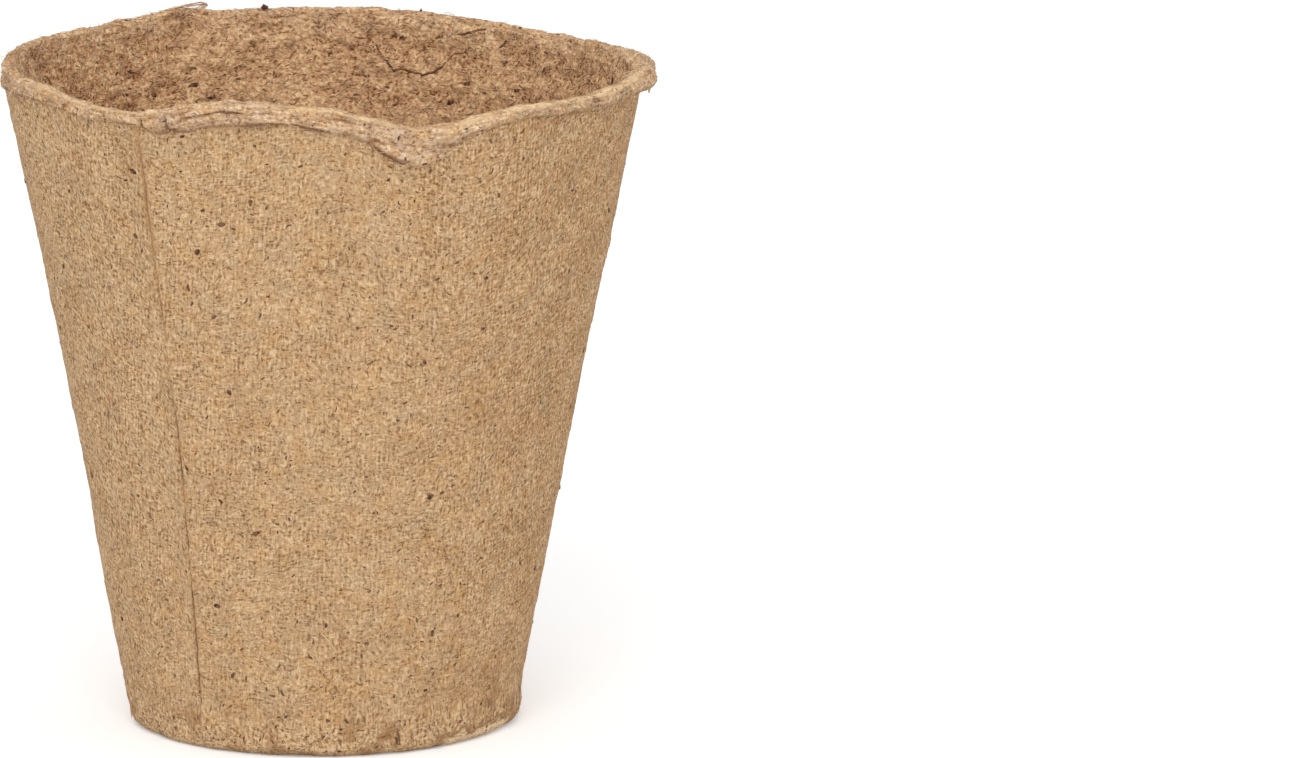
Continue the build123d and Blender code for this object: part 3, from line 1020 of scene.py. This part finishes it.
class Pulp(Shader):
    """Pressed pulp: a grainy ground with pale strands, painted shade in small hollows, and dark specks over
    it.
    """

    def __init__(self, name, strength, spread, floor_top=0.0):
        super().__init__(bpy.data.materials.new(name))
        self.solid = self.solid_place()
        on_wall = self.math("GREATER_THAN", self.parts(self.solid)["Z"], floor_top)
        around = self.node("ShaderNodeUVMap", {}, uv_map="developed").outputs[0]
        around = self.vector("SCALE", around, self.times(on_wall, 1 / MM))
        from_above = self.vector("SCALE", self.solid, self.math("SUBTRACT", 1.0, on_wall))
        laid_out = self.vector("ADD", around, from_above)
        wander = self.node("ShaderNodeTexNoise", {"Vector": self.solid, "Scale": 0.7, "Detail": 2.0})
        drift = self.vector("SUBTRACT", wander.outputs["Color"], (0.5, 0.5, 0.5))
        self.flat = self.vector("ADD", laid_out, self.vector("SCALE", drift, 0.7))
        self.grain = self.noise(self.solid, 0.42, 3.0, 0.6)
        clumps = self.noise(self.solid, 1.2, 2.0)
        blotch = self.noise(self.solid, 6.0, 2.0)
        self.level = self.add(
            0.5, self.times(self.grain, strength), self.times(clumps, 0.5), self.times(blotch, 0.35)
        )
        self.height = self.add(self.times(self.grain, 0.6 * strength), self.times(clumps, 0.7))
        self.hue = self.noise(self.solid, 2.6, 2.0)
        self.rusty = self.step(self.noise(self.solid, 3.4, 3.0, 0.6), 0.02, 0.2)
        self.pale = self.bits(3.0, cell=1.05, width=0.085, length=0.55, share=0.6, spread=spread)
        self.fine = self.bits(17.3, cell=0.7, width=0.065, length=0.42, share=0.6, spread=spread)
        # Dark dashes that paint the shade of small hollows
        self.hollow = self.bits(29.4, cell=0.95, width=0.13, length=0.38, share=0.45, spread=spread)

    def bits(self, shift, cell, width, length, share, spread=2 * np.pi, bend=1.2):
        """Mask of short bent bits, one in some of the cells of a random mosaic, turned within a spread."""
        place = self.vector("ADD", self.flat, (shift, 1.7 * shift, 0.0))
        inputs = {"Vector": place, "Scale": 1 / cell, "Randomness": 1.0}
        mosaic = self.node("ShaderNodeTexVoronoi", inputs, voronoi_dimensions="2D")
        chance = self.node("ShaderNodeSeparateColor", {"Color": mosaic.outputs["Color"]}).outputs
        local = self.vector("SUBTRACT", place, mosaic.outputs["Position"])
        turn = self.times(self.math("SUBTRACT", chance["Red"], 0.5), spread)
        inputs = {"Vector": local, "Angle": turn}
        turned = self.parts(self.node("ShaderNodeVectorRotate", inputs, rotation_type="Z_AXIS").outputs[0])
        bow = self.times(turned["X"], turned["X"], self.math("SUBTRACT", chance["Green"], 0.5), bend / cell)
        size = self.add(0.55, self.times(chance["Green"], 0.6))
        across = self.math("DIVIDE", self.math("ABSOLUTE", self.math("SUBTRACT", turned["Y"], bow)), size)
        along = self.math("DIVIDE", self.math("ABSOLUTE", turned["X"]), size)
        body = self.times(self.step(across, width, 0.3 * width), self.step(along, length, 0.6 * length))
        return self.times(body, self.math("GREATER_THAN", chance["Blue"], 1 - share))

    def tint(self, tones, hue_share, pale_share, hollow_shade_share, warm_share=0.0):
        """Colour of the ground, its strands and the painted shade of its hollows in one set of tones."""
        colour = self.mix(warm_share, tones.middle, tones.rust)
        colour = self.mix(self.times(self.step(self.hue, 0.02, 0.16), hue_share), colour, tones.orange)
        colour = self.mix(self.times(self.step(self.hue, -0.02, -0.16), hue_share), colour, tones.grey)
        colour = self.mix(self.times(self.rusty, 0.8 * hue_share), colour, tones.rust)
        colour = self.mix(self.step(self.level, 0.5, 0.0), colour, tones.dark)
        colour = self.mix(self.step(self.level, 0.5, 1.0), colour, tones.light)
        strands = self.times(self.math("MAXIMUM", self.pale, self.fine), pale_share)
        colour = self.mix(strands, colour, tones.light)
        # Painted shade in small hollows
        return self.mix(self.times(self.hollow, hollow_shade_share), colour, tones.dark)

    def specked(self, colour, depth, speck_share):
        """The finished material, with brown and dark specks over its colour."""
        brown = self.bits(53.1, cell=1.3, width=0.13, length=0.22, share=1.2 * speck_share)
        speck = self.bits(41.0, cell=2.3, width=0.16, length=0.3, share=speck_share)
        colour = self.mix(self.times(brown, 0.8), colour, brown_speck_tone)
        colour = self.mix(self.times(speck, 0.95), colour, dark_speck_tone)
        height = self.add(self.height, self.times(self.pale, 0.3), self.times(speck, -0.2))
        roughness = self.math("ADD", 0.9, self.times(self.grain, 0.25), clamp=True)
        return self.finish(colour, roughness, height, depth)


def mesh_weave(s):
    """Short upright and level dashes that the mould's wire mesh leaves, about zero."""
    pitch = 0.58
    place = s.parts(s.flat)
    across, up = (s.times(place[axis], np.pi / pitch) for axis in ("X", "Y"))
    checker = s.add(0.5, s.times(s.math("SINE", across), s.math("SINE", up), 0.5))
    upright = s.noise(s.vector("MULTIPLY", s.flat, (4.6, 1.05, 0.0)), 1.0, 1.0, flat=True)
    level_way = s.noise(s.vector("MULTIPLY", s.flat, (1.05, 4.6, 0.0)), 1.0, 1.0, flat=True)
    dash = s.add(s.times(checker, upright), s.times(s.math("SUBTRACT", 1.0, checker), level_way))
    ribs = s.times(s.math("COSINE", s.times(across, 2.0)), s.step(s.noise(s.solid, 8.0), -0.08, 0.1), 0.06)
    bars = s.times(s.math("COSINE", s.times(up, 2.0)), s.step(s.noise(s.solid, 10.0), 0.1, -0.08), 0.045)
    return s.add(dash, ribs, bars)


def with_seam(s, colour):
    """The colour with the mould seam on it: a dark line in a rusty one, broken and fading up the wall."""
    rise = s.parts(s.solid)["Z"]
    seam = s.math("ABSOLUTE", s.add(s.value("from_seam"), s.times(s.noise(s.solid, 2.4, 3.0), 0.9)))
    broken = s.math("MAXIMUM", s.step(s.noise(s.solid, 5.0, 2.0), -0.07, 0.06), s.step(rise, 22.0, 12.0))
    reach = s.times(s.step(rise, 3.5, 11.0), s.add(0.5, s.times(s.step(rise, 48.0, 32.0), 0.5)))
    uneven = s.add(0.85, s.times(s.noise(s.solid, 1.5), 1.5))
    rusty = s.add(s.times(reach, 0.3), s.times(s.step(rise, 56.0, 66.0), 0.4))
    colour = s.mix(s.times(s.step(seam, 0.9, 0.1), rusty), colour, outside_tones.rust)
    return s.mix(s.times(s.step(seam, 0.28, 0.08), broken, reach, uneven), colour, seam_tone)


def with_foot(s, colour):
    """The colour with rusty patches, pale crumbs and a bare chip along the foot."""
    rise = s.parts(s.solid)["Z"]
    low = s.step(rise, 8.0, 2.0)
    corner = s.times(s.step(s.parts(s.solid)["X"], 10.0, 20.0), s.step(rise, 15.0, 6.0), 0.7)
    rusty = s.times(s.step(s.noise(s.solid, 4.5, 4.0, 0.6), -0.02, 0.1), s.math("MAXIMUM", low, corner))
    colour = s.mix(s.times(rusty, 0.75), colour, foot_tone)
    bare = s.mix(s.step(s.grain, 0.02, -0.2), bare_tone, outside_tones.rust)
    chipped = s.value("chipped")
    edge = s.times(chipped, s.math("SUBTRACT", 1.0, chipped))
    colour = s.mix(s.times(chipped, 0.85), colour, bare)
    colour = s.mix(s.times(edge, 3.2), colour, foot_tone)
    crumbs = s.times(s.bits(71.0, cell=0.8, width=0.14, length=0.24, share=0.6), low)
    colour = s.mix(s.times(crumbs, 0.75), colour, outside_tones.light)
    dark_bits = s.times(s.bits(83.0, cell=1.2, width=0.13, length=0.3, share=0.75), low)
    return s.mix(s.times(dark_bits, 0.9), colour, dark_speck_tone)


def wall_colour(s, warm):
    """Colour of the pressed outside, redder by a warm share."""
    return s.tint(outside_tones, hue_share=0.5, pale_share=0.4, hollow_shade_share=0.65, warm_share=warm)


def outside_pulp():
    """Outside of the pot: pulp pressed on the wire mesh, warmer towards the right."""
    s = Pulp("outside_pulp", strength=1.5, spread=2 * np.pi, floor_top=0.35)
    weave = mesh_weave(s)
    place = s.parts(s.solid)
    right = s.step(place["X"], 6.0, 32.0)
    left = s.step(place["X"], -8.0, -32.0)
    coarse = s.add(1.0, s.times(right, 0.26), s.times(left, 0.32))
    uneven = s.add(s.level, -0.5, s.times(weave, 1.5))
    # Near the ground: crumbly grain, and painted light that makes the foot lighter towards its bottom
    crumbs_and_painted_light = s.add(0.12, s.times(s.grain, 1.8), s.times(s.noise(s.solid, 1.6, 3.0), 1.0))
    s.level = s.add(0.5, s.times(uneven, coarse), s.times(s.step(place["Z"], 6.0, 0.5), crumbs_and_painted_light))
    s.level = s.add(s.level, 0.01, s.times(right, 0.03), s.times(s.step(place["Z"], 45.0, 10.0), 0.03))
    s.height = s.add(s.height, s.times(weave, 0.9))
    colour = wall_colour(s, s.times(right, 0.6))
    return s.specked(with_foot(s, with_seam(s, colour)), depth=0.18, speck_share=0.42)


def lumpy_shaded_level(s):
    """Level of a lumpy ground, with painted shade in its hollows and painted light on its ridges."""
    return s.add(s.level, s.times(s.step(s.value("relief"), -0.4, 0.5), 0.34), -0.15)


def lining_colour(s):
    """Colour of the felted inside, redder towards the left."""
    left = s.step(s.parts(s.solid)["X"], -10.0, -34.0)
    warm = s.times(left, 0.4)
    return s.tint(inside_tones, hue_share=0.18, pale_share=0.8, hollow_shade_share=0.9, warm_share=warm)


def inside_pulp():
    """Inside of the pot: rough felted pulp."""
    s = Pulp("inside_pulp", strength=2.3, spread=2.4, floor_top=floor_level + 0.5 * corner_radius)
    s.level = lumpy_shaded_level(s)
    return s.specked(lining_colour(s), depth=0.22, speck_share=0.2)


def lip_pulp():
    """The lip: felted inside, paler over the fold, with a painted highlight on the crown and painted shade in
    its creases and along its hem.
    """
    s = Pulp("lip_pulp", strength=2.3, spread=1.8)
    on_lip = s.value("on_lip")
    streak = s.noise(s.vector("MULTIPLY", s.flat, (0.5, 3.2, 0.0)), 1.0, 2.0, flat=True)
    s.level = s.add(lumpy_shaded_level(s), s.times(streak, s.add(0.55, s.times(on_lip, 0.35))))
    folded = s.tint(lip_tones, hue_share=0.9, pale_share=0.6, hollow_shade_share=0.7)
    banded = s.mix(s.value("merged"), folded, wall_colour(s, 0.3))
    colour = s.mix(on_lip, lining_colour(s), banded)
    # Painted shade in the lip's creases, where its relief sinks
    creased = s.times(s.step(s.value("relief"), -0.05, -0.38), on_lip, 0.85)
    colour = s.mix(creased, colour, crease_shade_tone)
    # Painted highlight along the crown
    crown_highlight = s.times(s.value("edge"), s.step(s.noise(s.solid, 3.0), -0.12, 0.04), 0.7)
    colour = s.mix(crown_highlight, colour, crown_highlight_tone)
    # Painted shade along the hem
    hem_shade = s.times(s.value("hem"), s.step(s.noise(s.solid, 2.2, 3.0), -0.18, -0.02))
    return s.specked(s.mix(hem_shade, colour, crease_shade_tone), depth=0.2, speck_share=0.2)


def fibre_material(name, first, second, cell):
    """Thin matter such as straw, bark or loose fibre: two tones and a fine grain."""
    s = Shader(bpy.data.materials.new(name))
    solid = s.solid_place()
    grain = s.noise(solid, 0.12, 2.0)
    colour = s.mix(s.step(s.noise(solid, cell, 2.0), -0.15, 0.15), first, second)
    colour = s.mix(s.step(grain, 0.05, 0.3), colour, fibre_shadow_tone)
    return s.finish(colour, s.add(0.8, s.times(grain, 0.3)), grain, 0.03)


body, body_grid = build_body()
lip, lip_grid = build_lip()
chips = build_chips(lip_grid)
straw = build_straw()
roots_and_crease_shade = build_roots_and_crease_shade()
rim_tuft = build_rim_tuft()
rim_bits = build_rim_bits()
flap_edge = build_flap_edge(lip_grid)

inner_start = floor_rows + corner_rows
outer_start = inner_start + inside_rows
outer_fibres = build_fibres(
    "outer_fibres", body_grid, body_angles, (outer_start, outer_start + outside_rows), 61,
    count=2200, lengths=(0.6, 2.0), radii=(0.035, 0.06), lift=0.05, upright_share=0.35, level_share=0.2,
)
inner_fibres = build_fibres(
    "inner_fibres", body_grid, body_angles, (inner_start, outer_start - 12), 62,
    count=1800, lengths=(0.8, 3.0), radii=(0.05, 0.09), lift=0.25, curl=0.2, level_share=0.45,
)
lining_fibres = build_fibres(
    "lining_fibres", lip_grid, lip_angles, (6, lining_rows), 63,
    count=3600, lengths=(0.5, 2.2), radii=(0.045, 0.085), lift=0.25, curl=0.18, level_share=0.5,
)
lip_fibres = build_fibres(
    "lip_fibres", lip_grid, lip_angles, (lining_rows, hem_row + 1), 64,
    count=1300, lengths=(0.6, 2.2), radii=(0.03, 0.055), lift=0.1, level_share=0.6,
)

body.data.materials.append(outside_pulp())
body.data.materials.append(inside_pulp())
lip.data.materials.append(lip_pulp())
bark_skin = fibre_material("bark_skin", (0.06, 0.028, 0.019, 1), (0.20, 0.10, 0.052, 1), 0.7)
straw_skin = fibre_material("straw_skin", (0.70, 0.51, 0.31, 1), (0.60, 0.41, 0.23, 1), 6.0)
# Dark tones of the roots and of the painted shade along creases
root_and_shade_skin = fibre_material("root_and_shade_skin", (0.28, 0.125, 0.06, 1), (0.13, 0.06, 0.034, 1), 1.0)
rusty_skin = fibre_material("rusty_skin", (0.40, 0.18, 0.07, 1), (0.20, 0.09, 0.04, 1), 0.8)
fibre_skin = fibre_material("fibre_skin", (0.76, 0.56, 0.37, 1), (0.58, 0.37, 0.21, 1), 1.4)
for skin, pieces in (
    (bark_skin, (chips, rim_bits)),
    (root_and_shade_skin, (roots_and_crease_shade,)),
    (rusty_skin, (flap_edge,)),
    (straw_skin, (straw,)),
    (fibre_skin, (outer_fibres, inner_fibres, lining_fibres, lip_fibres, rim_tuft)),
):
    for piece in pieces:
        piece.data.materials.append(skin)


# Studio: sizes in metres, and the camera's in millimetres
floor_half = 4.0
floor_shade = (0.9, 0.9, 0.9, 1)
floor_lift = 0.26  # added to the floor where the camera sees it
world_light = 0.8  # of the strength with which the surroundings show
lamp_size = 0.7
lamp_power = 7.0
lamp_place = Vector((-0.08, -1.05, 0.85))
lamp_aim = Vector((0, 0, 0.04))
camera_distance, camera_height, camera_aside = 1300.0, 295.3, 40.0
camera_aim_height = 42.12
focal_length, sensor_width = 300.25, 36.0


def shows_directly(s):
    """Share that is 1 for rays straight from the camera, by mirror or through glass."""
    paths = s.node("ShaderNodeLightPath", {}).outputs
    glossy = s.math("MAXIMUM", paths["Is Glossy Ray"], paths["Is Transmission Ray"])
    return s.math("MAXIMUM", paths["Is Camera Ray"], glossy)


def build_floor():
    """Wide pale floor, a little brighter to the camera so that it reads as white outside the shadow."""
    half = floor_half
    corners = [(-half, -half, 0), (half, -half, 0), (half, half, 0), (-half, half, 0)]
    mesh = bpy.data.meshes.new("floor")
    mesh.from_pydata(corners, [], [(0, 1, 2, 3)])
    floor = bpy.data.objects.new("floor", mesh)
    bpy.context.scene.collection.objects.link(floor)
    s = Shader(bpy.data.materials.new("pale_floor"))
    matt = s.node("ShaderNodeBsdfDiffuse", {"Color": floor_shade}).outputs[0]
    lift = s.node("ShaderNodeEmission", {"Strength": s.times(shows_directly(s), floor_lift)}).outputs[0]
    both = s.node("ShaderNodeAddShader", {0: matt, 1: lift}).outputs[0]
    s.node("ShaderNodeOutputMaterial", {"Surface": both})
    mesh.materials.append(s.owner)


def build_world():
    """Even white surroundings, which light the pot a little less than they show."""
    s = Shader(bpy.data.worlds.new("studio"))
    strength = s.add(world_light, s.times(shows_directly(s), 1 - world_light))
    backdrop = s.node("ShaderNodeBackground", {"Color": (1, 1, 1, 1), "Strength": strength}).outputs[0]
    s.node("ShaderNodeOutputWorld", {"Surface": backdrop})
    bpy.context.scene.world = s.owner


def build_lamp():
    """One broad soft lamp from the upper front, a little to the left."""
    data = bpy.data.lights.new("key", "AREA")
    data.size = lamp_size
    data.energy = lamp_power
    lamp = bpy.data.objects.new("key", data)
    lamp.location = lamp_place
    lamp.rotation_euler = (lamp_aim - lamp_place).to_track_quat("-Z", "Y").to_euler()
    bpy.context.scene.collection.objects.link(lamp)


def build_camera():
    """Long lens a little above the pot, as in the photograph."""
    data = bpy.data.cameras.new("camera")
    data.lens = focal_length
    data.sensor_width = sensor_width
    data.clip_start, data.clip_end = 0.05, 20.0
    camera = bpy.data.objects.new("camera", data)
    camera.location = Vector((camera_aside, -camera_distance, camera_height)) * MM
    view = Vector((0, camera_distance, camera_aim_height - camera_height))
    camera.rotation_euler = view.to_track_quat("-Z", "Y").to_euler()
    bpy.context.scene.collection.objects.link(camera)
    bpy.context.scene.camera = camera


build_floor()
build_world()
build_lamp()
build_camera()
bpy.context.scene.view_settings.view_transform = "Standard"
